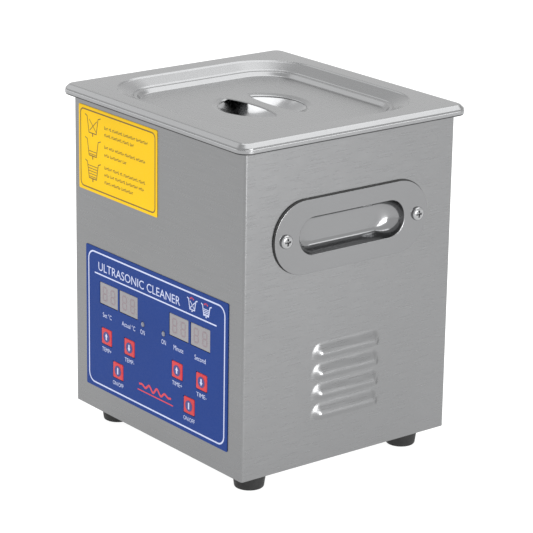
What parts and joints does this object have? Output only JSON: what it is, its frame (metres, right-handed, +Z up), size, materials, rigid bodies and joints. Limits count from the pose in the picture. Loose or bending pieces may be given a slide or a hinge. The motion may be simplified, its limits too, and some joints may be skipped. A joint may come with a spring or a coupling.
{
  "type": "ultrasonic cleaner",
  "caption": "Bench-top heated ultrasonic cleaning bath in a brushed steel cabinet, with a lift-off tray lid, recessed side handles and a digital key panel.",
  "frame": {"origin": "on the ground under the middle of the tank's rim", "axes": "+Z up, the control panel faces -Y, +X to the right seen from the front"},
  "size_m": [0.178, 0.164, 0.2098],
  "materials": {
    "satin_steel": "satin stainless sheet with a fine brushed grain",
    "drawn_steel": "bright deep-drawn stainless",
    "zinc_steel": "zinc-plated steel",
    "bright_screw": "bright plated screw",
    "foot_rubber": "matt black moulded rubber",
    "seal_silicone": "matt dark silicone",
    "panel_blue": "satin printed polyester film on a plate",
    "caution_yellow": "satin printed film",
    "key_red": "satin printed key cap",
    "switch_black": "moulded black plastic",
    "display_grey": "smoked display window, unlit",
    "lamp_grey": "unlit diffused lamp",
    "frame_grey": "moulded grey plastic",
    "board_green": "solder-masked circuit board",
    "ferrite_black": "sintered ferrite with a taped winding",
    "capacitor_yellow": "moulded box capacitor",
    "cast_aluminium": "machined aluminium",
    "piezo_ceramic": "fired ceramic",
    "inlet_black": "moulded black plastic",
    "pin_brass": "plated brass blade"
  },
  "bodies": {
    "cabinet": {"casing": "satin_steel", "tank": "drawn_steel", "handle_cup_right": "drawn_steel", "handle_cup_left": "drawn_steel", "bottom_plate": "zinc_steel", "transducer_back_mass": "zinc_steel", "transducer_bolt": "zinc_steel", "foot_screw_front_left": "bright_screw", "foot_screw_front_right": "bright_screw", "foot_screw_rear_left": "bright_screw", "foot_screw_rear_right": "bright_screw", "handle_screw_right_front": "bright_screw", "handle_screw_right_rear": "bright_screw", "handle_screw_left_front": "bright_screw", "handle_screw_left_rear": "bright_screw", "inlet_screw_left": "bright_screw", "inlet_screw_right": "bright_screw", "foot_front_left": "foot_rubber", "foot_front_right": "foot_rubber", "foot_rear_left": "foot_rubber", "foot_rear_right": "foot_rubber", "rim_seal": "seal_silicone", "heater_pad": "seal_silicone", "control_panel": "panel_blue", "caution_plate": "caution_yellow", "switch_temperature_up": "switch_black", "switch_temperature_down": "switch_black", "switch_heater_power": "switch_black", "switch_time_up": "switch_black", "switch_time_down": "switch_black", "switch_timer_power": "switch_black", "display_set_temperature": "display_grey", "display_actual_temperature": "display_grey", "display_minutes": "display_grey", "display_seconds": "display_grey", "heater_lamp": "lamp_grey", "timer_lamp": "lamp_grey", "board_frame": "frame_grey", "control_board": "board_green", "power_board": "board_green", "drive_transformer": "ferrite_black", "filter_capacitor": "capacitor_yellow", "heat_sink": "cast_aluminium", "transducer_horn": "cast_aluminium", "temperature_sensor": "cast_aluminium", "piezo_ring_upper": "piezo_ceramic", "piezo_ring_lower": "piezo_ceramic", "power_inlet": "inlet_black", "inlet_pin_live": "pin_brass", "inlet_pin_neutral": "pin_brass", "inlet_pin_earth": "pin_brass"},
    "lid": {"lid": "satin_steel", "lid_bowl": "drawn_steel"},
    "key_temperature_up": {"key_temperature_up": "key_red"},
    "key_temperature_down": {"key_temperature_down": "key_red"},
    "key_heater_power": {"key_heater_power": "key_red"},
    "key_time_up": {"key_time_up": "key_red"},
    "key_time_down": {"key_time_down": "key_red"},
    "key_timer_power": {"key_timer_power": "key_red"},
    "fuse_drawer": {"fuse_drawer": "inlet_black"}
  },
  "joints": [
    {"name": "lid_lift", "type": "slide", "parent": "cabinet", "child": "lid", "axis": [0, 0, 1], "range_m": [0, 0.12]},
    {"name": "key_temperature_up_press", "type": "slide", "parent": "cabinet", "child": "key_temperature_up", "axis": [0, 1, 0], "range_m": [0, 0.0005], "stiffness_N_per_m": 3000, "springref_m": -0.0002},
    {"name": "key_temperature_down_press", "type": "slide", "parent": "cabinet", "child": "key_temperature_down", "axis": [0, 1, 0], "range_m": [0, 0.0005], "stiffness_N_per_m": 3000, "springref_m": -0.0002},
    {"name": "key_heater_power_press", "type": "slide", "parent": "cabinet", "child": "key_heater_power", "axis": [0, 1, 0], "range_m": [0, 0.0005], "stiffness_N_per_m": 3000, "springref_m": -0.0002},
    {"name": "key_time_up_press", "type": "slide", "parent": "cabinet", "child": "key_time_up", "axis": [0, 1, 0], "range_m": [0, 0.0005], "stiffness_N_per_m": 3000, "springref_m": -0.0002},
    {"name": "key_time_down_press", "type": "slide", "parent": "cabinet", "child": "key_time_down", "axis": [0, 1, 0], "range_m": [0, 0.0005], "stiffness_N_per_m": 3000, "springref_m": -0.0002},
    {"name": "key_timer_power_press", "type": "slide", "parent": "cabinet", "child": "key_timer_power", "axis": [0, 1, 0], "range_m": [0, 0.0005], "stiffness_N_per_m": 3000, "springref_m": -0.0002},
    {"name": "fuse_drawer_pull", "type": "slide", "parent": "cabinet", "child": "fuse_drawer", "axis": [0, 1, 0], "range_m": [0, 0.012]}
  ]
}
